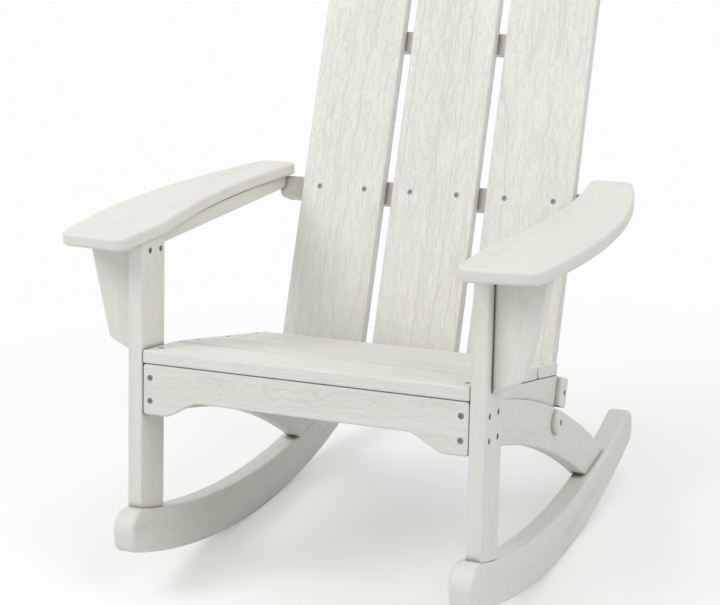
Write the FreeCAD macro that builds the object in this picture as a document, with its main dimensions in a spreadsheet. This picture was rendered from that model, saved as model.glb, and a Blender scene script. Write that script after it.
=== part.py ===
import FreeCAD, Part

import os
import re

import Sketcher
from FreeCAD import Placement, Rotation, Vector

# A garden rocking chair made of thick boards. Millimetres, +Z up, floor at
# z = 0, the sitter looks along -Y. The right-hand boards are modelled and the
# left-hand ones are their mirror images in the plane x = 0.
# Every name below is a cell of the sheet; a size is changed only here.
SIZES = [
    ("seam_gap", 0.2, "play left between two boards that meet"),
    ("edge_round", 3, "rounding of the long board edges"),
    ("runner_round", 6, "rounding of the rockers' edges"),
    ("zone_size", 3000, "edge of the large blocks that trim boards"),
    ("post_inner", 262, "from the middle to the inner face of a front post"),
    ("post_thick", 24.5, "post, sideways"),
    ("post_deep", 66, "post, front to back"),
    ("post_rake", 7.3, "backward lean of the front posts, degrees"),
    ("post_front", -363.5, "y of the post's front face at post_level"),
    ("post_level", 142.6, "height at which post_front is taken"),
    ("runner_inner", 252, "from the middle to the inner face of a rocker"),
    ("runner_thick", 37, "rocker, sideways"),
    ("runner_radius", 1062, "curve that rolls on the floor"),
    ("runner_top_radius", 1139, "curve of the rocker's upper edge"),
    ("runner_top_shift", 25, "how far back the upper curve's centre lies"),
    ("runner_deep", 71.5, "lowest point of the upper edge above the floor"),
    ("runner_front", 406, "from the chair's middle forward to the nose"),
    ("runner_rear", 376, "from the chair's middle back to the tail"),
    ("roll_centre", 12, "y of the rolling curve's lowest point, below the balance point"),
    ("nose_round_top", 30, "nose corner, upper"),
    ("nose_round_low", 18, "nose corner, lower"),
    ("tail_round_top", 24, "tail corner, upper"),
    ("tail_round_low", 22, "tail corner, lower"),
    ("apron_set", 2.5, "how far the apron sits behind the posts' front"),
    ("apron_thick", 21, "apron, front to back"),
    ("apron_tall", 78, "apron, over its feet"),
    ("apron_low", 142.6, "lower edge of the apron, measured up the post"),
    ("arch_rise", 25, "rise of the apron's arch"),
    ("arch_foot", 219, "half width at which the arch starts"),
    ("arch_flat", 174, "half width of the arch's level part"),
    ("arch_round", 38, "curve from the arch's level part into its flanks"),
    ("foot_round", 22, "curve from the arch's flanks into its feet"),
    ("apron_round", 6, "rounding of the apron's own corners"),
    ("slat_thick", 20, "seat slat"),
    ("slat_wide", 92, "seat slat, front to back"),
    ("slat_space", 6.4, "opening between two seat slats"),
    ("front_slope", 8.5, "fall of the first seat slat, degrees"),
    ("front_slat_start", -331.6, "y of the first slat's upper front edge"),
    ("front_slat_level", 381.6, "height of the first slat's upper front edge"),
    ("seat_slope", 13.5, "fall of the other seat slats, degrees"),
    ("seat_start", -234.3, "y of the second slat's upper front edge"),
    ("seat_level", 367.1, "height of the second slat's upper front edge"),
    ("leg_thick", 27, "side leg, sideways"),
    ("leg_toe", 2, "outward turn of the side legs, degrees"),
    ("leg_pivot", -265, "y at which a leg's outer face meets the post"),
    ("leg_front", -90, "front end of the untrimmed leg board, from leg_pivot"),
    ("leg_rear", 560, "rear end of the untrimmed leg board, from leg_pivot"),
    ("leg_round", 10, "corners of the untrimmed leg board"),
    ("leg_bevel", 2, "bevel of the side legs' edges"),
    ("leg_radius", 1246.9, "curve of the leg's upper edge"),
    ("leg_deep", 68, "width of the curved leg board"),
    ("leg_centre_back", -291, "centre of the leg's curves, from leg_pivot"),
    ("leg_centre_up", -874, "height of the centre of the leg's curves"),
    ("rail_thick", 22, "seat rail, sideways"),
    ("rail_start", -268, "y at which the seat rail's thin end starts"),
    ("back_lean", 22.96, "backward lean of the back, degrees"),
    ("back_foot", 54.6, "y of the back slats' lower front edge"),
    ("back_low", 232, "height of the back slats' lower front edge"),
    ("back_thick", 21, "back slat"),
    ("back_wide", 149, "back slat, sideways"),
    ("back_space", 19.2, "opening between two back slats"),
    ("back_long", 856, "back slat, from end to end"),
    ("upper_rail_low", 567, "upper back rail, up the back"),
    ("upper_rail_tall", 36, "upper back rail"),
    ("upper_rail_deep", 22, "upper back rail, front to back"),
    ("upper_rail_half", 225, "half length of the upper back rail"),
    ("arm_rail_low", 300, "rail at arm height, up the back"),
    ("arm_rail_tall", 39, "rail at arm height"),
    ("arm_rail_deep", 27, "rail at arm height, front to back"),
    ("arm_rail_lap", 9.5, "how far the rail at arm height covers a stringer's end"),
    ("arm_rail_round", 13, "lower corners of the rail at arm height"),
    ("lower_rail_low", -9, "lower back rail, up the back"),
    ("lower_rail_tall", 47, "lower back rail"),
    ("lower_rail_deep", 28, "lower back rail, front to back"),
    ("lower_rail_half", 272, "half length of the lower back rail"),
    ("bar_wide", 37.5, "diameter of the rear stretcher"),
    ("bar_half", 280.5, "half length of the rear stretcher"),
    ("bar_back", 4, "y of the rear stretcher"),
    ("bar_level", 217, "height of the rear stretcher"),
    ("arm_top", 561, "height of the arms' upper face"),
    ("arm_thick", 20, "arm board"),
    ("arm_inner", 255, "from the middle to the arm's straight inner edge"),
    ("arm_front", -374, "y of the arm's front edge at its inner corner"),
    ("arm_front_skew", 12, "how far the front edge runs back to its outer end"),
    ("arm_front_outer", 373, "x of the arm's outer front corner"),
    ("arm_straight_end", -245, "y at which the inner edge starts to curve"),
    ("arm_rear", 208, "y of the arm's rear edge"),
    ("arm_rear_inner", 264, "x of the arm's inner rear corner"),
    ("arm_rear_outer", 333, "x of the arm's outer rear corner"),
    ("arm_outer_radius", 978.6, "curve of the arm's outer edge"),
    ("arm_inner_radius", 1093.9, "curve of the arm's inner edge"),
    ("arm_round", 22, "front corners of the arm"),
    ("arm_rear_round", 14, "rear corners of the arm"),
    ("arm_bend_round", 8, "corner between the inner edge's line and curve"),
    ("arm_edge_round", 5, "rounding of the arms' edges"),
    ("wing_set", 18, "how far the bracket sits behind the post's front"),
    ("wing_thick", 22, "arm bracket, front to back"),
    ("wing_top_out", 372, "x of the bracket's outer edge at wing_high"),
    ("wing_high", 420, "top of the untrimmed bracket, up the post"),
    ("wing_low_out", 331, "x of the bracket's lower outer corner"),
    ("wing_low", 251.4, "lower outer corner of the bracket, up the post"),
    ("wing_heel", 231.6, "lower inner corner of the bracket, up the post"),
    ("wing_round", 12, "lower outer corner of the bracket"),
    ("stringer_thick", 22, "stringer below the arm, sideways"),
    ("stringer_tall", 25, "stringer below the arm"),
    ("head_wide", 9, "screw head"),
    ("head_deep", 2.6, "screw head"),
    ("head_sink", 0.3, "screw head below the board's face"),
    ("shank_wide", 4.5, "screw shank"),
    ("socket_wide", 4, "drive recess in the screw head, corner to corner"),
    ("socket_deep", 1.6, "drive recess in the screw head"),
    ("screw_clear", 0.2, "play around a screw"),
    ("drill_lead", 4, "how far a drill starts in front of the board"),
    ("short_screw", 34, "screws that only go a little into the next board"),
    ("board_screw", 40, "screws through one board into the next"),
    ("end_screw", 56, "screws into the end of a board"),
    ("runner_screw", 98, "screws up through a rocker"),
    ("apron_screw_side", 13, "from a post to the apron's screws"),
    ("apron_screw_high", 21, "upper apron screws, below the apron's top"),
    ("apron_screw_low", 56, "lower apron screws, below the apron's top"),
    ("leg_screw_front", 15.5, "front leg screws, behind the post's front"),
    ("leg_screw_rear", 49, "rear leg screws, behind the post's front"),
    ("leg_screw_high", 20, "upper leg screws, below the apron's top"),
    ("leg_screw_low", 55, "lower leg screws, below the apron's top"),
    ("top_screw_drop", 13.6, "screws at the post's top, below the arm along the post"),
    ("top_screw_front", 5, "front one, behind the bracket's front face"),
    ("top_screw_rear", 13, "rear one, from the post's rear face"),
    ("slat_screw_side", 15.5, "from the first slat's end to its screws"),
    ("slat_screw_back", 30, "from the first slat's front edge to its screws"),
    ("stringer_screw_front", -200, "y of the front stringer screws"),
    ("stringer_screw_rear", 100, "y of the rear stringer screws"),
    ("runner_screw_front", -334, "y of the screws through a rocker into the post"),
    ("runner_screw_rear", 188, "y of the screws through a rocker into the leg"),
    ("runner_screw_side", 13, "from a rocker's inner face to the rear screws"),
    ("runner_screw_sink", 2, "rocker screws above the rocker's lower face"),
    ("back_screw_side", 42, "from a back slat's middle to its screws"),
    ("back_screw_up", 320.4, "screws at arm height, up the back"),
    ("lower_screw_high", 12, "lower rail's screws, above the screws in its ends"),
]

doc = FreeCAD.newDocument("RockingChair")
sheet = doc.addObject("Spreadsheet::Sheet", "Sizes")
for row, (alias, value, note) in enumerate(SIZES, start=1):
    sheet.set("A%d" % row, alias)
    sheet.set("B%d" % row, str(value))
    sheet.set("C%d" % row, note)
    sheet.setAlias("B%d" % row, alias)
doc.recompute()

parts = []
# Two points nearer than this are the same point.
TOUCH = 0.01


def number(text):
    """Value of an expression written with the sheet's names."""
    return float(sheet.evalExpression(text))


def bind(thing, field, text):
    """Tie a property to the sheet; names with an underscore are cells."""
    thing.setExpression(field, re.sub(r"[a-z]+(_[a-z]+)+", r"Sizes.\g<0>", text))


def bind_base(thing, corner):
    for letter, text in zip("xyz", corner):
        bind(thing, "Placement.Base." + letter, text)


def frame(name, axis, angle, corner):
    """A tilted set of axes in which some of the boards are square."""
    holder = doc.addObject("App::Placement", name)
    holder.Placement = Placement(Vector(), Rotation(axis, 1))
    bind(holder, "Placement.Rotation.Angle", angle)
    bind_base(holder, corner)
    return holder


def block(name, corner, size):
    box = doc.addObject("Part::Box", name)
    bind(box, "Length", size[0])
    bind(box, "Width", size[1])
    bind(box, "Height", size[2])
    bind_base(box, corner)
    return box


def rod(name, corner, radius, length):
    """A cylinder along +X that starts at corner."""
    tube = doc.addObject("Part::Cylinder", name)
    tube.Placement = Placement(Vector(), Rotation(Vector(0, 1, 0), 90))
    bind(tube, "Radius", radius)
    bind(tube, "Height", length)
    bind_base(tube, corner)
    return tube


def combine(kind, name, members):
    """A boolean or a compound of several shapes."""
    result = doc.addObject(kind, name)
    if kind == "Part::Compound":
        result.Links = members
    else:
        result.Shapes = members
    return result


def rounded(source, radius, axis=None):
    """Round every edge, or only the edges that run along one axis."""
    doc.recompute()
    picked = []
    for index, edge in enumerate(source.Shape.Edges, start=1):
        start, end = edge.Vertexes[0].Point, edge.Vertexes[-1].Point
        along = (end - start).normalize() if len(edge.Vertexes) > 1 else None
        if axis is None or (along is not None and abs(along.dot(axis)) > 1 - TOUCH):
            picked.append((index, number(radius), number(radius)))
    result = doc.addObject("Part::Fillet", source.Name + "_rounded")
    result.Base = source
    result.Edges = picked
    return result


def seen_from(thing, home, viewer):
    """The same thing, with its place told in another frame."""
    if home is viewer:
        return thing
    copy = combine("Part::Compound", "%s_in_%s" % (thing.Name, viewer.Name), [thing])
    copy.setExpression(
        "Placement", "minvert(%s.Placement) * %s.Placement" % (viewer.Name, home.Name))
    return copy


def add_part(source, label, home, tools):
    """Cut the drills and trimming tools out of a board and place it."""
    cutters = [seen_from(tool, tool_home, home) for tool, tool_home in tools]
    board = doc.addObject("Part::Cut", label)
    board.Base = source
    board.Tool = combine("Part::Compound", label + "_tools", cutters)
    board.setExpression("Placement", home.Name + ".Placement")
    board.Label = label
    parts.append(board)
    return board


def add_pair(source, name, home, tools):
    """The right-hand board and its mirror image."""
    right = add_part(source, name + "_right", home, tools)
    left = doc.addObject("Part::Mirroring", name + "_left")
    left.Source = right
    left.Normal = Vector(1, 0, 0)
    left.Label = name + "_left"
    parts.append(left)


def outline_board(name, plane, points, depth, offset, corners=None, edges="edge_round", kind="Fillet"):
    """Pad an outline of lines and arcs and round its edges, or bevel them.

    Each point is (across, up, radius). The radius belongs to the arc that
    runs from this point to the next one; None stands for a straight line and
    a text that starts with a minus sign for an arc that curves inwards.
    corners maps the index of a point to the radius of its rounded corner.
    edges is the size of the rounding or bevel around the two flat faces.
    """
    body = doc.addObject("PartDesign::Body", name)
    sketch = body.newObject("Sketcher::SketchObject", name + "_outline")
    support = [item for item in body.Origin.OriginFeatures if item.Role == plane][0]
    sketch.AttachmentSupport = [(support, "")]
    sketch.MapMode = "FlatFace"
    spots = [Vector(number(point[0]), number(point[1]), 0) for point in points]
    count = len(points)
    for index, point in enumerate(points):
        start, end = spots[index], spots[(index + 1) % count]
        draw_side(sketch, start, end, point[2])
    for index, point in enumerate(points):
        is_arc = point[2] is not None
        inward = is_arc and point[2].startswith("-")
        first = 2 if inward else 1
        tie(sketch, "DistanceX", index, first, point[0])
        tie(sketch, "DistanceY", index, first, point[1])
        after = points[(index + 1) % count][2]
        next_first = 2 if after is not None and after.startswith("-") else 1
        last = 1 if inward else 2
        sketch.addConstraint(
            Sketcher.Constraint("Coincident", index, last, (index + 1) % count, next_first))
        if is_arc:
            spot = sketch.addConstraint(
                Sketcher.Constraint("Radius", index, number(point[2].lstrip("-"))))
            bind(sketch, "Constraints[%d]" % spot, point[2].lstrip("-"))
    pad = body.newObject("PartDesign::Pad", name + "_pad")
    pad.Profile = sketch
    bind(pad, "Length", depth)
    pad.Reversed = plane == "XZ_Plane"
    bind_base(body, offset)
    doc.recompute()
    last = pad
    for radius in sorted(set((corners or {}).values())):
        chosen = [spots[index] for index, text in corners.items() if text == radius]
        last = round_body(body, last, radius, upright_edges(last.Shape, plane, chosen))
    round_body(body, last, edges, face_edges(last.Shape, plane), kind)
    return body


def draw_side(sketch, start, end, radius):
    """One side of an outline, a line or an arc of the given radius."""
    if radius is None:
        sketch.addGeometry(Part.LineSegment(start, end), False)
        return
    size = number(radius.lstrip("-"))
    chord = end - start
    left = Vector(-chord.y, chord.x, 0).normalize()
    sag = size - (size ** 2 - (chord.Length / 2) ** 2) ** 0.5
    side = 1 if radius.startswith("-") else -1
    middle = start + chord * 0.5 + left * sag * side
    sketch.addGeometry(Part.Arc(start, middle, end), False)


def tie(sketch, kind, geometry, vertex, text):
    spot = sketch.addConstraint(Sketcher.Constraint(kind, geometry, vertex, number(text)))
    bind(sketch, "Constraints[%d]" % spot, text)


def round_body(body, last, size, edges, kind="Fillet"):
    """Round or bevel some edges of a body."""
    dressing = body.newObject("PartDesign::" + kind, body.Name + "_edges")
    dressing.Base = (last, edges)
    bind(dressing, "Radius" if kind == "Fillet" else "Size", size)
    doc.recompute()
    return dressing


def flatten(point, plane):
    """A point of the body, told in the outline's own two directions."""
    if plane == "YZ_Plane":
        return Vector(point.y, point.z, 0)
    if plane == "XZ_Plane":
        return Vector(point.x, point.z, 0)
    return Vector(point.x, point.y, 0)


def upright_edges(shape, plane, spots):
    """Edges that stand on the given points of the outline."""
    found = []
    for index, edge in enumerate(shape.Edges, start=1):
        ends = [flatten(vertex.Point, plane) for vertex in edge.Vertexes]
        if len(ends) == 2 and (ends[0] - ends[1]).Length < TOUCH:
            if any((ends[0] - spot).Length < TOUCH for spot in spots):
                found.append("Edge%d" % index)
    return found


def face_edges(shape, plane):
    """Edges around the two flat faces of a padded outline."""
    found = []
    for index, edge in enumerate(shape.Edges, start=1):
        ends = [flatten(vertex.Point, plane) for vertex in edge.Vertexes]
        if (ends[0] - ends[-1]).Length > TOUCH:
            found.append("Edge%d" % index)
    return found


# Frames: the boards of one group are square in the group's own frame.
tip_back = Vector(1, 0, 0)
turn = Vector(0, 0, 1)
chair = frame("ChairFrame", turn, "0", ("0", "0", "0"))
front = frame("FrontFrame", tip_back, "-post_rake", ("0", "post_front", "post_level"))
first = frame("FirstSlatFrame", tip_back, "-front_slope", ("0", "front_slat_start", "front_slat_level"))
seat = frame("SeatFrame", tip_back, "-seat_slope", ("0", "seat_start", "seat_level"))
back = frame("BackFrame", tip_back, "-back_lean", ("0", "back_foot", "back_low"))
leg = frame("LegFrame", turn, "-leg_toe", ("post_inner - seam_gap", "leg_pivot", "0"))

# Trimming zones: a board keeps only what lies inside its zones.
below_arm = block(
    "BelowArm", ("-zone_size / 2", "-zone_size / 2", "arm_top - arm_thick - seam_gap - zone_size"),
    ("zone_size", "zone_size", "zone_size"))
above_runner = rod(
    "AboveRunner", ("-zone_size / 2", "runner_top_shift", "runner_deep + runner_top_radius"),
    "runner_top_radius - seam_gap", "zone_size")
behind_apron = block(
    "BehindApron", ("-zone_size / 2", "apron_set + apron_thick + seam_gap", "-zone_size / 2"),
    ("zone_size", "zone_size", "zone_size"))
behind_wing = block(
    "BehindWing", ("-zone_size / 2", "wing_set + wing_thick + seam_gap", "-zone_size / 2"),
    ("zone_size", "zone_size", "zone_size"))
below_first_slat = block(
    "BelowFirstSlat", ("-zone_size / 2", "-zone_size / 2", "-slat_thick - seam_gap - zone_size"),
    ("zone_size", "zone_size", "zone_size"))
before_arm_rail = block(
    "BeforeArmRail", ("-zone_size / 2", "back_thick - zone_size", "-zone_size / 2"),
    ("zone_size", "zone_size", "zone_size"))
before_lower_rail = block(
    "BeforeLowerRail", ("-zone_size / 2", "-lower_rail_deep - seam_gap * 2 - zone_size", "-zone_size / 2"),
    ("zone_size", "zone_size", "zone_size"))


# Screws: one pattern for each length, and a slightly wider drill beside it.
def screw_pattern(length):
    """A flat-headed screw along +Z, and the drill that makes room for it."""
    head = doc.addObject("Part::Cylinder", "head_" + length)
    bind(head, "Radius", "head_wide / 2")
    bind(head, "Height", "head_deep")
    bind(head, "Placement.Base.z", "head_sink")
    shank = doc.addObject("Part::Cylinder", "shank_" + length)
    bind(shank, "Radius", "shank_wide / 2")
    bind(shank, "Height", length + " - head_sink")
    bind(shank, "Placement.Base.z", "head_sink")
    whole = combine("Part::MultiFuse", "whole_" + length, [head, shank])
    socket = doc.addObject("Part::Prism", "socket_" + length)
    socket.Polygon = 6
    bind(socket, "Circumradius", "socket_wide / 2")
    bind(socket, "Height", "socket_deep + head_sink")
    screw = doc.addObject("Part::Cut", "pattern_" + length)
    screw.Base = whole
    screw.Tool = socket
    pocket = doc.addObject("Part::Cylinder", "pocket_" + length)
    bind(pocket, "Radius", "head_wide / 2 + screw_clear")
    bind(pocket, "Height", "drill_lead + head_sink + head_deep + screw_clear")
    bind(pocket, "Placement.Base.z", "-drill_lead")
    hole = doc.addObject("Part::Cylinder", "hole_" + length)
    bind(hole, "Radius", "shank_wide / 2 + screw_clear")
    bind(hole, "Height", length + " + screw_clear")
    drill = combine("Part::MultiFuse", "drill_" + length, [pocket, hole])
    return screw, drill


PATTERNS = {length: screw_pattern(length)
            for length in ("short_screw", "board_screw", "end_screw", "runner_screw")}
FORWARD = Rotation(Vector(1, 0, 0), 90)
BACKWARD = Rotation(Vector(1, 0, 0), -90)
DOWN = Rotation(Vector(1, 0, 0), 180)
UP = Rotation()
INWARD = Rotation(Vector(0, 1, 0), -90)
OUTWARD = Rotation(Vector(0, 1, 0), 90)


def mirrored(turned):
    """The same direction as seen on the left-hand side."""
    if turned == INWARD:
        return OUTWARD
    if turned == OUTWARD:
        return INWARD
    return turned


def linked_copies(name, pattern, places):
    copies = []
    for index, (corner, turned) in enumerate(places, start=1):
        copy = doc.addObject("App::Link", "%s_%d" % (name, index))
        copy.LinkedObject = pattern
        copy.Placement = Placement(Vector(), turned)
        bind_base(copy, corner)
        copies.append(copy)
    return combine("Part::Compound", name, copies)


def add_screws(label, home, length, turned, corners):
    """Place screws on both sides of the chair; returns their drills."""
    places = []
    for corner in corners:
        places.append((corner, turned))
        if corner[0] != "0":
            places.append((("-(%s)" % corner[0],) + tuple(corner[1:]), mirrored(turned)))
    screw, drill = PATTERNS[length]
    group = linked_copies(label, screw, places)
    group.setExpression("Placement", home.Name + ".Placement")
    group.Label = label
    parts.append(group)
    return linked_copies(label + "_drills", drill, places), home


back_pitch = "(back_wide + back_space)"
back_columns = ["%s + back_screw_side" % back_pitch, "%s - back_screw_side" % back_pitch, "back_screw_side"]
post_outer = "post_inner + post_thick"
apron_top = "apron_low + apron_tall"
stringer_middle = "post_inner + post_thick + seam_gap + stringer_thick / 2"
stringer_low = "arm_top - arm_thick - seam_gap - stringer_tall"
runner_low = "runner_radius - sqrt(runner_radius * runner_radius - (%s) * (%s))"
top_screw_up = "(arm_top - arm_thick - post_level) / cos(post_rake) - top_screw_drop"
lower_rail_middle = "lower_rail_low + lower_rail_tall / 2"
screw_ahead = "(roll_centre - runner_screw_front)"
screw_behind = "(runner_screw_rear - roll_centre)"

apron_drill = add_screws("apron_screws", front, "end_screw", BACKWARD, [
    ("post_inner - apron_screw_side", "apron_set", apron_top + " - apron_screw_high"),
    ("post_inner - apron_screw_side", "apron_set", apron_top + " - apron_screw_low")])
post_drill = add_screws("post_to_leg_screws", front, "short_screw", INWARD, [
    (post_outer, "leg_screw_front", apron_top + " - leg_screw_high"),
    (post_outer, "leg_screw_rear", apron_top + " - leg_screw_high"),
    (post_outer, "leg_screw_front", apron_top + " - leg_screw_low"),
    (post_outer, "leg_screw_rear", apron_top + " - leg_screw_low")])
post_top_drill = add_screws("post_top_screws", front, "board_screw", OUTWARD, [
    ("post_inner", "wing_set + top_screw_front", top_screw_up),
    ("post_inner", "post_deep - top_screw_rear", top_screw_up)])
arm_rail_drill = add_screws("arm_rail_screws", back, "board_screw", BACKWARD, [
    (column, "0", "back_screw_up") for column in back_columns])
upper_rail_drill = add_screws("upper_rail_screws", back, "short_screw", FORWARD, [
    (column, "back_thick + seam_gap + upper_rail_deep", "upper_rail_low + upper_rail_tall / 2")
    for column in back_columns])
lower_rail_drill = add_screws("lower_rail_screws", back, "board_screw", FORWARD, [
    (column, "back_thick", lower_rail_middle + " + lower_screw_high") for column in back_columns])
rail_end_drill = add_screws("rail_end_screws", back, "board_screw", INWARD, [
    ("lower_rail_half", "-lower_rail_deep / 2", lower_rail_middle)])
slat_pitch = "(slat_wide + slat_space)"
rail_middle = "post_inner - rail_thick / 2"
seat_drill = add_screws("seat_screws", seat, "board_screw", DOWN, [
    (rail_middle, "slat_wide / 2 + %d * %s" % (index, slat_pitch), "0") for index in range(3)])
first_drill = add_screws("front_slat_screws", first, "short_screw", DOWN, [
    ("post_inner - slat_screw_side", "slat_screw_back", "0")])
bar_drill = add_screws("stretcher_screws", chair, "board_screw", INWARD, [
    ("bar_half", "bar_back", "bar_level")])
arm_drill = add_screws("arm_screws", chair, "short_screw", UP, [
    (stringer_middle, "stringer_screw_front", stringer_low),
    (stringer_middle, "stringer_screw_rear", stringer_low)])
runner_drill = add_screws("runner_screws", chair, "runner_screw", UP, [
    ("post_inner + post_thick / 2", "runner_screw_front", runner_low % (screw_ahead, screw_ahead)
     + " + runner_screw_sink"),
    ("runner_inner + runner_screw_side", "runner_screw_rear", runner_low % (screw_behind, screw_behind)
     + " + runner_screw_sink")])

# Rockers: the lower arc rolls, the upper arc is a little flatter.
top_height = "runner_deep + runner_top_radius - sqrt(runner_top_radius * runner_top_radius - (%s) * (%s))"
nose_across = "(runner_front + runner_top_shift)"
tail_across = "(runner_rear - runner_top_shift)"
nose_low = "(runner_front + roll_centre)"
tail_low = "(runner_rear - roll_centre)"
rocker = outline_board("rocker_board", "YZ_Plane", [
    ("-runner_front", runner_low % (nose_low, nose_low), "runner_radius"),
    ("runner_rear", runner_low % (tail_low, tail_low), None),
    ("runner_rear", top_height % (tail_across, tail_across), "-runner_top_radius"),
    ("-runner_front", top_height % (nose_across, nose_across), None),
], "runner_thick", ("runner_inner", "0", "0"), {
    0: "nose_round_low", 1: "tail_round_low", 2: "tail_round_top", 3: "nose_round_top"}, "runner_round")
add_pair(rocker, "rocker", chair, [runner_drill])

# Front posts stand on the rockers and carry the arms.
post_bar = rounded(block(
    "post_bar", ("post_inner", "0", "-zone_size / 4"), ("post_thick", "post_deep", "zone_size / 2")),
    "edge_round", Vector(0, 0, 1))
post = combine("Part::MultiCommon", "post_board", [
    post_bar, seen_from(below_arm, chair, front), seen_from(above_runner, chair, front)])
add_pair(post, "front_post", front, [post_drill, post_top_drill, runner_drill])

# Apron between the posts, with an arched lower edge.
apron_half = "(post_inner - seam_gap)"
apron = outline_board("apron_board", "XZ_Plane", [
    ("-" + apron_half, "apron_low", None),
    ("-arch_foot", "apron_low", None),
    ("-arch_flat", "apron_low + arch_rise", None),
    ("arch_flat", "apron_low + arch_rise", None),
    ("arch_foot", "apron_low", None),
    (apron_half, "apron_low", None),
    (apron_half, apron_top, None),
    ("-" + apron_half, apron_top, None),
], "apron_thick", ("0", "apron_set", "0"), {
    0: "apron_round", 1: "foot_round", 2: "arch_round", 3: "arch_round",
    4: "foot_round", 5: "apron_round", 6: "apron_round", 7: "apron_round"})
add_part(apron, "apron", front, [apron_drill, post_drill])

# Side legs: curved boards from the apron down to the rear of the rockers.
leg_height = "leg_centre_up + sqrt((%s) * (%s) - (%s - leg_centre_back) * (%s - leg_centre_back))"
leg_under = "(leg_radius - leg_deep)"
leg_curved = outline_board("leg_curved", "YZ_Plane", [
    ("leg_front", leg_height % (leg_under, leg_under, "leg_front", "leg_front"), "-" + leg_under),
    ("leg_rear", leg_height % (leg_under, leg_under, "leg_rear", "leg_rear"), None),
    ("leg_rear", leg_height % ("leg_radius", "leg_radius", "leg_rear", "leg_rear"), "leg_radius"),
    ("leg_front", leg_height % ("leg_radius", "leg_radius", "leg_front", "leg_front"), None),
], "leg_thick", ("-leg_thick", "0", "0"), {
    0: "leg_round", 1: "leg_round", 2: "leg_round", 3: "leg_round"}, "leg_bevel", "Chamfer")
leg_board = combine("Part::MultiCommon", "leg_board", [
    leg_curved, seen_from(behind_apron, front, leg),
    seen_from(below_first_slat, first, leg), seen_from(above_runner, chair, leg)])
bar_room = rod(
    "bar_room", ("-zone_size / 2", "bar_back", "bar_level"), "bar_wide / 2 + seam_gap", "zone_size")
add_pair(leg_board, "side_leg", leg, [
    apron_drill, post_drill, seat_drill, first_drill, runner_drill, (bar_room, chair)])

# Seat rails: wedges between the side legs' curve and the seat slats.
rail_bar = block(
    "rail_bar",
    ("post_inner - rail_thick", "rail_start - seat_start", "-slat_thick - seam_gap - zone_size / 4"),
    ("rail_thick", "zone_size / 2", "zone_size / 4"))
leg_room = rod("leg_room", ("-zone_size / 2", "leg_centre_back", "leg_centre_up"),
               "leg_radius + seam_gap", "zone_size")
rail_board = combine("Part::MultiCommon", "rail_board", [
    rail_bar, seen_from(below_first_slat, first, seat), seen_from(before_lower_rail, back, seat)])
add_pair(rail_board, "seat_rail", seat, [seat_drill, first_drill, (leg_room, leg)])

# Seat slats.
first_slat = rounded(block(
    "first_slat", ("-post_inner + seam_gap", "0", "-slat_thick"),
    ("2 * (post_inner - seam_gap)", "slat_wide", "slat_thick")), "edge_round")
add_part(first_slat, "seat_slat_1", first, [first_drill])
for index in range(3):
    slat = rounded(block(
        "slat_%d" % (index + 2), ("-post_inner", "%d * %s" % (index, slat_pitch), "-slat_thick"),
        ("2 * post_inner", "slat_wide", "slat_thick")), "edge_round")
    add_part(slat, "seat_slat_%d" % (index + 2), seat, [seat_drill])

# Back slats and the three rails that hold them.
for side, name in ((-1, "left"), (0, "centre"), (1, "right")):
    slat = rounded(block(
        "back_board_" + name, ("%d * %s - back_wide / 2" % (side, back_pitch), "0", "0"),
        ("back_wide", "back_thick", "back_long")), "edge_round")
    add_part(slat, "back_slat_" + name, back, [arm_rail_drill, upper_rail_drill, lower_rail_drill])
upper_rail = rounded(block(
    "upper_rail_bar", ("-upper_rail_half", "back_thick + seam_gap", "upper_rail_low"),
    ("2 * upper_rail_half", "upper_rail_deep", "upper_rail_tall")), "edge_round")
add_part(upper_rail, "upper_back_rail", back, [upper_rail_drill])
arm_rail_half = "(%s + seam_gap + arm_rail_lap)" % post_outer
arm_rail_high = "arm_rail_low + arm_rail_tall"
arm_rail = outline_board("arm_rail_board", "XZ_Plane", [
    ("-" + arm_rail_half, "arm_rail_low", None),
    (arm_rail_half, "arm_rail_low", None),
    (arm_rail_half, arm_rail_high, None),
    ("-" + arm_rail_half, arm_rail_high, None),
], "arm_rail_deep", ("0", "back_thick + seam_gap", "0"), {0: "arm_rail_round", 1: "arm_rail_round"})
add_part(arm_rail, "arm_back_rail", back, [arm_rail_drill])
lower_rail = rounded(block(
    "lower_rail_bar", ("-lower_rail_half", "-lower_rail_deep - seam_gap", "lower_rail_low"),
    ("2 * lower_rail_half", "lower_rail_deep", "lower_rail_tall")), "edge_round")
add_part(lower_rail, "lower_back_rail", back, [lower_rail_drill, rail_end_drill])

# Rear stretcher: a round bar through both side legs.
bar = rounded(rod(
    "bar", ("-bar_half", "bar_back", "bar_level"), "bar_wide / 2", "2 * bar_half"), "edge_round")
add_part(bar, "rear_stretcher", chair, [bar_drill])

# Arms, with a bracket and a stringer below each.
arm = outline_board("arm_board", "XY_Plane", [
    ("arm_inner", "arm_front", None),
    ("arm_front_outer", "arm_front + arm_front_skew", "arm_outer_radius"),
    ("arm_rear_outer", "arm_rear", None),
    ("arm_rear_inner", "arm_rear", "-arm_inner_radius"),
    ("arm_inner", "arm_straight_end", None),
], "arm_thick", ("0", "0", "arm_top - arm_thick"), {
    0: "arm_round", 1: "arm_round", 2: "arm_rear_round", 3: "arm_rear_round",
    4: "arm_bend_round"}, "arm_edge_round")
add_pair(arm, "arm", chair, [arm_drill])
wing = outline_board("wing_board", "XZ_Plane", [
    ("post_inner + post_thick + seam_gap", "wing_heel", None),
    ("wing_low_out", "wing_low", None),
    ("wing_top_out", "wing_high", None),
    ("post_inner + post_thick + seam_gap", "wing_high", None),
], "wing_thick", ("0", "wing_set", "0"), {1: "wing_round"})
wing_trimmed = combine("Part::MultiCommon", "wing_trimmed", [
    wing, seen_from(below_arm, chair, front)])
add_pair(wing_trimmed, "arm_bracket", front, [post_top_drill])
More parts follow.
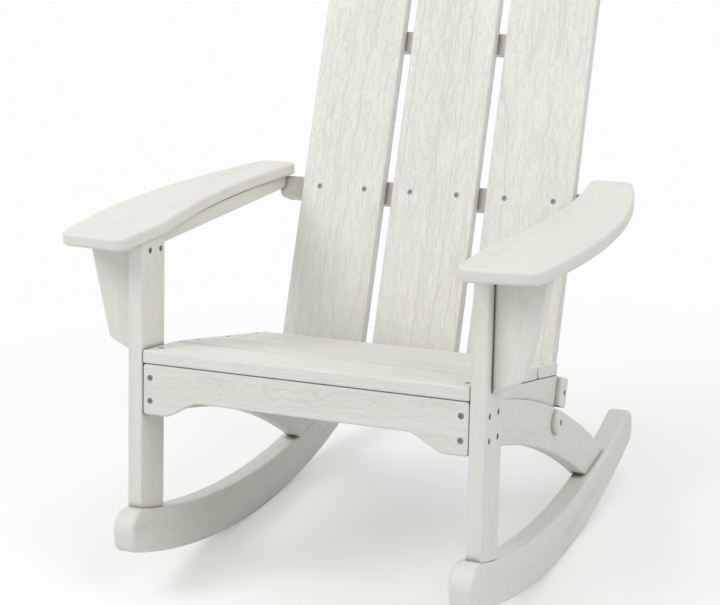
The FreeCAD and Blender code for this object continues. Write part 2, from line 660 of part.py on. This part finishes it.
stringer_bar = rounded(block(
    "stringer_bar", (post_outer + " + seam_gap", "-zone_size / 4", stringer_low),
    ("stringer_thick", "zone_size / 2", "stringer_tall")), "edge_round", Vector(0, 1, 0))
stringer = combine("Part::MultiCommon", "stringer_board", [
    stringer_bar, seen_from(behind_wing, front, chair), seen_from(before_arm_rail, back, chair)])
add_pair(stringer, "arm_stringer", chair, [arm_drill, post_top_drill])

doc.recompute()
broken = [item.Name for item in doc.Objects if {"Invalid", "Error"} & set(item.State)]
if broken:
    raise RuntimeError("not built: " + ", ".join(broken))
for part in parts:
    if part.Shape.isNull() or not part.Shape.isValid() or not part.Shape.Solids:
        raise RuntimeError("bad shape: " + part.Label)

os.makedirs("parts", exist_ok=True)
for part in parts:
    part.Shape.exportStep("parts/%s.step" % part.Label)
print("%d parts written" % len(parts))
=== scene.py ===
# %% [markdown]
# # A garden rocking chair in plastic lumber
# This lesson dresses a finished CAD model. Every board of the chair already has
# its place and size, so nothing is moved here. What is left is what the eye
# notices: the pressed wood grain, the pale colour, the steel screws and the light.
# The first cell loads the model and bakes each node's place into its mesh.

import math

import bpy
from mathutils import Matrix, Vector

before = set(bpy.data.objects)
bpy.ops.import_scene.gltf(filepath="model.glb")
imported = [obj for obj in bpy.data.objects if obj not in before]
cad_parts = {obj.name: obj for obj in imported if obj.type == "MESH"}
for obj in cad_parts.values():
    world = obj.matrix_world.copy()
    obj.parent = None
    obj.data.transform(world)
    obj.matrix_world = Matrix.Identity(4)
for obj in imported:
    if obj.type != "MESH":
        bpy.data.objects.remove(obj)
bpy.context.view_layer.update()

# %% [markdown]
# ## Helpers
# Colours are easiest to read as the hex values of a paint chart, but a shader
# works in linear light, so one function converts them. Shader networks are
# plain lists of nodes: one function adds a node with its settings and links,
# which keeps each recipe short enough to read. Arithmetic between sockets comes
# so often that it has its own short name.

# %% Colour and node helpers
MM = 0.001


def linear(hex_text):
    """An sRGB hex colour as linear RGBA."""
    channels = [int(hex_text[i:i + 2], 16) / 255 for i in (1, 3, 5)]
    bent = [c / 12.92 if c <= 0.04045 else ((c + 0.055) / 1.055) ** 2.4 for c in channels]
    return (*bent, 1.0)


def add(tree, kind, settings=None, inputs=None):
    """Add a node; an input is a value or the socket that feeds it."""
    node = tree.nodes.new(kind)
    for name, value in (settings or {}).items():
        setattr(node, name, value)
    for name, value in (inputs or {}).items():
        if isinstance(value, bpy.types.NodeSocket):
            tree.links.new(value, node.inputs[name])
        else:
            node.inputs[name].default_value = value
    return node


def new_material(name):
    material = bpy.data.materials.new(name)
    material.use_nodes = True
    material.node_tree.nodes.clear()
    return material, material.node_tree


def calc(tree, operation, first, second):
    """One arithmetic step between two numbers or sockets."""
    node = add(tree, "ShaderNodeMath", {"operation": operation}, {0: first, 1: second})
    return node.outputs[0]


print("paper white is", [round(c, 3) for c in linear("#EEEDE6")[:3]])

# %% [markdown]
# ## The camera
# The photograph was taken from above the right front corner with a long lens.
# The camera's place and its three axes come from a fit of the chair's corners,
# and the lens shift only puts the chair where the photograph's frame has it.

# %% Camera
PICTURE_WIDTH = 720
FOCAL_PIXELS = 1711.4
CENTRE_BELOW_AXIS = 45.46

right = Vector((0.90790, 0.41791, -0.03275))
up = Vector((-0.07662, 0.24224, 0.96719))
forward = Vector((-0.41213, 0.87560, -0.25194))
camera_data = bpy.data.cameras.new("studio_camera")
camera_data.sensor_width = 36
camera_data.lens = 36 * FOCAL_PIXELS / PICTURE_WIDTH
camera_data.shift_y = -CENTRE_BELOW_AXIS / PICTURE_WIDTH
camera = bpy.data.objects.new("studio_camera", camera_data)
bpy.context.scene.collection.objects.link(camera)
turn = Matrix((right, up, -forward)).transposed().to_4x4()
camera.matrix_world = Matrix.Translation((1.07504, -2.39859, 1.14825)) @ turn
bpy.context.scene.camera = camera
print("lens", round(camera_data.lens, 1), "mm, shift", round(camera_data.shift_y, 3))

# %% [markdown]
# ## Studio light
# A product picture like this one is lit by a white room: light from everywhere,
# one large soft lamp high on the left, a weaker one on the right that keeps the
# boards' sides from going grey, and the weakest one overhead. Large area lamps
# give soft shadows, and a dim white world fills them. The world is plain white
# for the camera and for reflections, so that metal has something bright to
# mirror. The powers are low enough that the level arms stay just below white.

# %% World and lamps
ROOM_FILL = 0.55
WHITE = (1.0, 1.0, 1.0, 1.0)

scene = bpy.context.scene
scene.view_settings.view_transform = "Standard"


def seen_directly(tree):
    """1 for rays from the camera, from a mirror or through glass, 0 for light."""
    path = add(tree, "ShaderNodeLightPath").outputs
    either = calc(tree, "MAXIMUM", path["Is Camera Ray"], path["Is Glossy Ray"])
    return calc(tree, "MAXIMUM", either, path["Is Transmission Ray"])


world = bpy.data.worlds.new("white_room")
world.use_nodes = True
scene.world = world
tree = world.node_tree
tree.nodes.clear()
seen = seen_directly(tree)
fill = add(tree, "ShaderNodeBackground", None, {"Color": WHITE, "Strength": ROOM_FILL})
plain = add(tree, "ShaderNodeBackground", None, {"Color": WHITE, "Strength": 1.0})
both = add(tree, "ShaderNodeMixShader", None, {0: seen, 1: fill.outputs[0], 2: plain.outputs[0]})
add(tree, "ShaderNodeOutputWorld", None, {"Surface": both.outputs[0]})


def area_lamp(name, place, target, size, power):
    """A round lamp at place that shines on target; metres and watts."""
    data = bpy.data.lights.new(name, "AREA")
    data.shape = "DISK"
    data.size = size
    data.energy = power
    lamp = bpy.data.objects.new(name, data)
    scene.collection.objects.link(lamp)
    lamp.location = place
    lamp.rotation_euler = (Vector(target) - Vector(place)).to_track_quat("-Z", "Y").to_euler()


area_lamp("key_softbox", (-2.4, -2.6, 3.6), (0, 0, 0.45), 2.4, 75)
area_lamp("top_softbox", (0.2, 0.6, 4.2), (0, 0.1, 0.4), 2.6, 16)
area_lamp("side_softbox", (3.0, -1.2, 3.0), (0, 0, 0.3), 2.4, 36)

# %% [markdown]
# ## Floor
# The background is white paper. Paper that is lit just right would still show a
# grey cast, so for the camera the floor gives part of its brightness itself.
# The rest is lit, which keeps the soft shadow below the rockers. The lamps fade
# with distance, so from 0.35 m to 1.5 m the paper turns to plain white. For the
# light that it throws back on the chair, it is ordinary white paper.

# %% Floor
PAPER_SIZE = 60
PAPER_DROP = 0.5 * MM
OWN_GLOW = 0.33
PLAIN_WHITE = 0.98
SHADOW_NEAR, SHADOW_FAR = 0.35, 1.5

bpy.ops.mesh.primitive_plane_add(size=PAPER_SIZE, location=(0, 0, -PAPER_DROP))
floor = bpy.context.object
floor.name = "paper_floor"
paper, tree = new_material("white_paper")
lit = add(tree, "ShaderNodeBsdfDiffuse", None, {"Color": (0.80, 0.80, 0.80, 1)})
lit_part = add(tree, "ShaderNodeBsdfDiffuse", None, {"Color": (0.72, 0.713, 0.706, 1)})
own_part = add(tree, "ShaderNodeEmission", None, {"Color": WHITE, "Strength": OWN_GLOW})
near = add(tree, "ShaderNodeAddShader", None, {0: lit_part.outputs[0], 1: own_part.outputs[0]})
far = add(tree, "ShaderNodeEmission", None, {"Color": WHITE, "Strength": PLAIN_WHITE})
place = add(tree, "ShaderNodeNewGeometry")
distance = add(tree, "ShaderNodeVectorMath", {"operation": "LENGTH"}, {0: place.outputs["Position"]})
fade = add(tree, "ShaderNodeMapRange", {"interpolation_type": "SMOOTHSTEP"}, {
    "Value": distance.outputs["Value"], "From Min": SHADOW_NEAR, "From Max": SHADOW_FAR})
shown = add(tree, "ShaderNodeMixShader", None,
            {0: fade.outputs["Result"], 1: near.outputs[0], 2: far.outputs[0]})
mixed = add(tree, "ShaderNodeMixShader", None,
            {0: seen_directly(tree), 1: lit.outputs[0], 2: shown.outputs[0]})
add(tree, "ShaderNodeOutputMaterial", None, {"Surface": mixed.outputs[0]})
floor.data.materials.append(paper)
print("floor at", round(floor.location.z, 4))

# %% [markdown]
# ## Embossed HDPE lumber
# The boards are extruded polyethylene, coloured right through and passed between
# embossing rollers while warm. The rollers press in a shallow wood grain: fine
# lines that meander and fork along the board, a few long deeper ones, short
# dashes and small pits. It is satin, never glossy.
#
# Image textures would need every one of the 26 boards unwrapped, so the grain is
# drawn from noise in the board's own directions, with X along the board. The
# noise is stretched: its forms are hundreds of millimetres long and some
# millimetres wide. Lines of equal value in such a noise run like the lines of a
# map, which is just how pressed grain looks.

# %% Noise in real sizes
def stretched(tree, position, length, width, detail=2.0, seed=0.0):
    """Noise whose marks are about length by width millimetres."""
    scaled = add(tree, "ShaderNodeMapping", {"vector_type": "POINT"}, {
        "Vector": position, "Location": (seed, seed * 2, seed * 3),
        "Scale": (1 / (length * MM), 1 / (width * MM), 1 / (width * MM))})
    noise = add(tree, "ShaderNodeTexNoise", {"noise_dimensions": "3D"}, {
        "Vector": scaled.outputs[0], "Scale": 1.0, "Detail": detail, "Roughness": 0.5})
    return noise.outputs["Fac"]


def band(tree, value, low, high, reach=(0.0, 1.0)):
    """Map low..high to reach, without steps."""
    node = add(tree, "ShaderNodeMapRange", {"interpolation_type": "SMOOTHSTEP"}, {
        "Value": value, "From Min": low, "From Max": high,
        "To Min": reach[0], "To Max": reach[1]})
    return node.outputs["Result"]


def map_lines(tree, field, count, width):
    """Lines of equal value: count of them between 0 and 1 of the field."""
    steps = calc(tree, "PINGPONG", calc(tree, "MULTIPLY", field, count), 0.5)
    return band(tree, steps, 0.0, width, (1.0, 0.0))


print("noise is sized in millimetres of", MM, "m")

# %% [markdown]
# ## Every board its own
# A sheet of boards is cut from a long run, so no two boards show the same grain.
# Each object has a random number between 0 and 1, and each board reads the noise
# that many metres further on. Real grain also wanders from side to side. Pushing
# the position a few millimetres aside, slowly and then a little faster, bends
# all the marks together.

# %% A board's place in the noise
RUN = (9.0, 5.0, 7.0)
SLOW_SWAY = 16 * MM
QUICK_SWAY = 5 * MM


def own_place(tree, position, board):
    """The position, moved on by the board's random number."""
    moved = [calc(tree, "MULTIPLY", board, metres) for metres in RUN]
    shift = add(tree, "ShaderNodeCombineXYZ", None, dict(zip("XYZ", moved)))
    place = add(tree, "ShaderNodeVectorMath", {"operation": "ADD"},
                {0: position, 1: shift.outputs[0]})
    return place.outputs[0]


def bent_aside(tree, place):
    """The place, swayed sideways so that straight marks meander."""
    slow = calc(tree, "SUBTRACT", stretched(tree, place, 150, 40, 1.0, 4.0), 0.5)
    quick = calc(tree, "SUBTRACT", stretched(tree, place, 26, 11, 0.0, 31.0), 0.5)
    aside = calc(tree, "ADD", calc(tree, "MULTIPLY", slow, SLOW_SWAY),
                 calc(tree, "MULTIPLY", quick, QUICK_SWAY))
    push = add(tree, "ShaderNodeCombineXYZ", None, {"Y": aside, "Z": aside})
    swayed = add(tree, "ShaderNodeVectorMath", {"operation": "ADD"},
                 {0: place, 1: push.outputs[0]})
    return swayed.outputs[0]


print("boards lie up to", max(RUN), "m apart in the noise")

# %% [markdown]
# ## The pressed marks
# Four kinds of mark make the grain. Fine lines stand some 4 mm apart and fade in
# and out along the board. One or two deep lines cross each wide board. Dashes are
# about 24 mm long, and pits are a few millimetres. The real marks are under a
# millimetre wide, which is finer than a pixel of the picture, so lines and
# dashes are drawn 1 to 2 mm wide.

# %% Marks
def pressed_marks(tree, wavy):
    """How deep a point lies in a mark, from 0 for none to 1."""
    fine = map_lines(tree, stretched(tree, wavy, 150, 17, 1.5, 7.0), 15.0, 0.20)
    fading = band(tree, stretched(tree, wavy, 90, 9, 1.0, 29.0), 0.40, 0.60)
    deep = map_lines(tree, stretched(tree, wavy, 1400, 45, 0.0, 13.0), 3.0, 0.035)
    dashes = band(tree, stretched(tree, wavy, 24, 1.9, 1.0, 1.0), 0.54, 0.66)
    pits = band(tree, stretched(tree, wavy, 6, 1.5, 0.0, 11.0), 0.74, 0.82)
    fine = calc(tree, "MULTIPLY", fine, fading)
    marks = calc(tree, "MAXIMUM", calc(tree, "MULTIPLY", fine, 0.8), deep)
    marks = calc(tree, "MAXIMUM", marks, calc(tree, "MULTIPLY", dashes, 0.6))
    return calc(tree, "MAXIMUM", marks, pits)


print("dashes are 24 mm long")

# %% [markdown]
# ## The plastic
# The plastic has one warm off-white colour all through. Only the bottom of the
# marks is a little darker, which is painted shade, and broad streaks differ
# by a few per cent, as does one board from the next. The seams between boards
# get painted shade too, from an occlusion node: it looks 12 mm
# around each point and answers how much of it is open. Polyethylene has an IOR
# of about 1.5, and the rollers leave it satin, a little rougher in the marks.

# %% Colour, roughness and relief of a board
LUMBER_TOP = "#E9E8E1"
# The darker tone serves the broad streaks and board tones, and the painted shade in the marks.
LUMBER_GROOVE = "#B4B2A4"
# The colour of the painted shade in the seams and crevices between boards.
PAINTED_SEAM_SHADE = "#77756A"
SEAM_REACH = 12 * MM
MARK_DEPTH = 0.5 * MM


def lumber_colour(tree, place, marks, board, depth):
    """Off-white, darker in broad streaks, with painted shade in the marks and seams."""
    streaks = band(tree, stretched(tree, place, 420, 60, 2.0, 23.0), 0.35, 0.75, (0.0, 0.10))
    # The marks' share of this tone is painted shade in the hollows of the grain.
    tone = calc(tree, "ADD", calc(tree, "MULTIPLY", marks, 0.25 * depth), streaks)
    tone = calc(tree, "ADD", tone, calc(tree, "MULTIPLY", board, 0.07))
    unshaded = add(tree, "ShaderNodeMix", {"data_type": "RGBA"}, {
        "Factor": tone, "A": linear(LUMBER_TOP), "B": linear(LUMBER_GROOVE)})
    # Painted shade: where the occlusion node finds a seam or crevice, the colour turns darker.
    around = add(tree, "ShaderNodeAmbientOcclusion", {"samples": 8}, {"Distance": SEAM_REACH})
    seam_shade_amount = band(tree, around.outputs["AO"], 0.35, 0.92, (0.75, 0.0))
    seam_shaded = add(tree, "ShaderNodeMix", {"data_type": "RGBA"}, {
        "Factor": seam_shade_amount, "A": unshaded.outputs["Result"], "B": linear(PAINTED_SEAM_SHADE)})
    return seam_shaded.outputs["Result"]


def finish_lumber(tree, position, depth):
    """The whole finish; depth 1 is the deepest press."""
    board = add(tree, "ShaderNodeObjectInfo").outputs["Random"]
    place = own_place(tree, position, board)
    wavy = bent_aside(tree, place)
    marks = pressed_marks(tree, wavy)
    swell = calc(tree, "MULTIPLY", stretched(tree, wavy, 170, 10, 1.0, 17.0), 0.8)
    bump = add(tree, "ShaderNodeBump", None, {
        "Height": calc(tree, "SUBTRACT", swell, marks),
        "Strength": 0.75 * depth, "Distance": MARK_DEPTH})
    shader = add(tree, "ShaderNodeBsdfPrincipled", None, {
        "Base Color": lumber_colour(tree, place, marks, board, depth),
        "Roughness": band(tree, marks, 0.0, 1.0, (0.48, 0.70)),
        "Normal": bump.outputs[0], "IOR": 1.50})
    add(tree, "ShaderNodeOutputMaterial", None, {"Surface": shader.outputs[0]})


print("lumber top is", [round(c, 3) for c in linear(LUMBER_TOP)[:3]])

# %% [markdown]
# ## Straight and bent grain
# On a straight board the position only has to be turned, so that the board's
# length falls on X. The arms curve so little that they are treated the same way.
# The rockers and the side legs are bent more, and there the eye reads the curve,
# so their position is read round a centre: the angle times the radius gives the
# distance along, and the distance from the centre gives the width. The rollers
# press hardest on the wide back boards. Thick and narrow stock, such as the
# posts and the rockers, comes out smoother, so its depth is smaller.

# %% Materials for each direction
POST_RAKE = 7.3
BACK_LEAN = 22.96
SEAT_SLOPE = 13.5


def straight_lumber(name, along, depth):
    """Grain that runs along a fixed direction of the chair."""
    material, tree = new_material(name)
    place = add(tree, "ShaderNodeTexCoord")
    angles = Vector(along).normalized().rotation_difference(Vector((1, 0, 0))).to_euler()
    turned = add(tree, "ShaderNodeMapping", {"vector_type": "POINT"},
                 {"Vector": place.outputs["Object"], "Rotation": tuple(angles)})
    finish_lumber(tree, turned.outputs[0], depth)
    return material


def bent_lumber(name, centre_y, centre_z, radius, depth):
    """Grain that follows a circle seen from the side; metres in the chair's axes."""
    material, tree = new_material(name)
    place = add(tree, "ShaderNodeTexCoord")
    split = add(tree, "ShaderNodeSeparateXYZ", None, {0: place.outputs["Object"]})
    across = calc(tree, "SUBTRACT", split.outputs["Y"], centre_y)
    upward = calc(tree, "SUBTRACT", split.outputs["Z"], centre_z)
    side = -1 if centre_z > 0 else 1
    angle = calc(tree, "ARCTAN2", across, calc(tree, "MULTIPLY", upward, side))
    length = calc(tree, "MULTIPLY", angle, radius)
    reach = calc(tree, "SQRT", calc(tree, "ADD", calc(tree, "MULTIPLY", across, across),
                                    calc(tree, "MULTIPLY", upward, upward)), 0.0)
    joined = add(tree, "ShaderNodeCombineXYZ", None,
                 {"X": length, "Y": reach, "Z": split.outputs["X"]})
    finish_lumber(tree, joined.outputs[0], depth)
    return material


def lean(degrees):
    """The direction that leans back from straight up by some degrees."""
    return (0, math.sin(math.radians(degrees)), math.cos(math.radians(degrees)))


LUMBER = {
    "crosswise": straight_lumber("hdpe_lumber_crosswise", (1, 0, 0), 0.7),
    "front": straight_lumber("hdpe_lumber_posts", lean(POST_RAKE), 0.5),
    "back": straight_lumber("hdpe_lumber_back", lean(BACK_LEAN), 1.0),
    "arm": straight_lumber("hdpe_lumber_arms", (0, 1, 0), 0.45),
    "seat_rail": straight_lumber("hdpe_lumber_seat_rails", lean(90 + SEAT_SLOPE), 0.5),
    "rocker": bent_lumber("hdpe_lumber_rockers", 0.015, 1.10, 1.10, 0.5),
    "leg": bent_lumber("hdpe_lumber_side_legs", -0.556, -0.874, 1.21, 0.55),
}
print("lumber materials:", sorted(LUMBER))

# %% [markdown]
# ## Turned stainless steel
# The screws are stainless steel with turned heads, dulled by weather. The marks
# of turning are far too fine for the picture, so they are drawn as a grit of
# 0.8 mm that makes the roughness and the grey uneven. A metal keeps the default
# IOR, because its colour is the reflection itself.

# %% Screws
GRIT_SIZE = 0.8 * MM

steel, tree = new_material("turned_stainless_steel")
place = add(tree, "ShaderNodeTexCoord")
grit = add(tree, "ShaderNodeTexNoise", None, {
    "Vector": place.outputs["Object"], "Scale": 1 / GRIT_SIZE, "Detail": 3.0})
shade = add(tree, "ShaderNodeMix", {"data_type": "RGBA"}, {
    "Factor": grit.outputs["Fac"], "A": linear("#7C7D7D"), "B": linear("#9A9B9A")})
steel_rough = band(tree, grit.outputs["Fac"], 0.3, 0.7, (0.50, 0.68))
steel_bump = add(tree, "ShaderNodeBump", None, {
    "Height": grit.outputs["Fac"], "Strength": 0.2, "Distance": 0.05 * MM})
metal = add(tree, "ShaderNodeBsdfPrincipled", None, {
    "Base Color": shade.outputs["Result"], "Metallic": 1.0, "Roughness": steel_rough,
    "Normal": steel_bump.outputs[0]})
add(tree, "ShaderNodeOutputMaterial", None, {"Surface": metal.outputs[0]})
print("steel grit is", GRIT_SIZE, "m")

# %% [markdown]
# ## Dress the boards
# Each CAD node gets the lumber whose grain runs along it. The names of the
# nodes say what they are, so a short list of beginnings is enough.

# %% Assign the materials
GRAIN_OF = [
    ("front_post", "front"), ("arm_bracket", "front"), ("back_slat", "back"),
    ("arm_stringer", "arm"), ("arm_back_rail", "crosswise"), ("arm_", "arm"),
    ("rocker", "rocker"), ("side_leg", "leg"), ("seat_rail", "seat_rail"),
    ("apron", "crosswise"), ("seat_slat", "crosswise"), ("upper_back_rail", "crosswise"),
    ("lower_back_rail", "crosswise"), ("rear_stretcher", "crosswise"),
]
dressed = {}
for name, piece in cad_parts.items():
    if name.endswith("_screws"):
        material = steel
    else:
        material = LUMBER[next(kind for start, kind in GRAIN_OF if name.startswith(start))]
    piece.data.materials.clear()
    piece.data.materials.append(material)
    dressed[material.name] = dressed.get(material.name, 0) + 1
print(dressed)
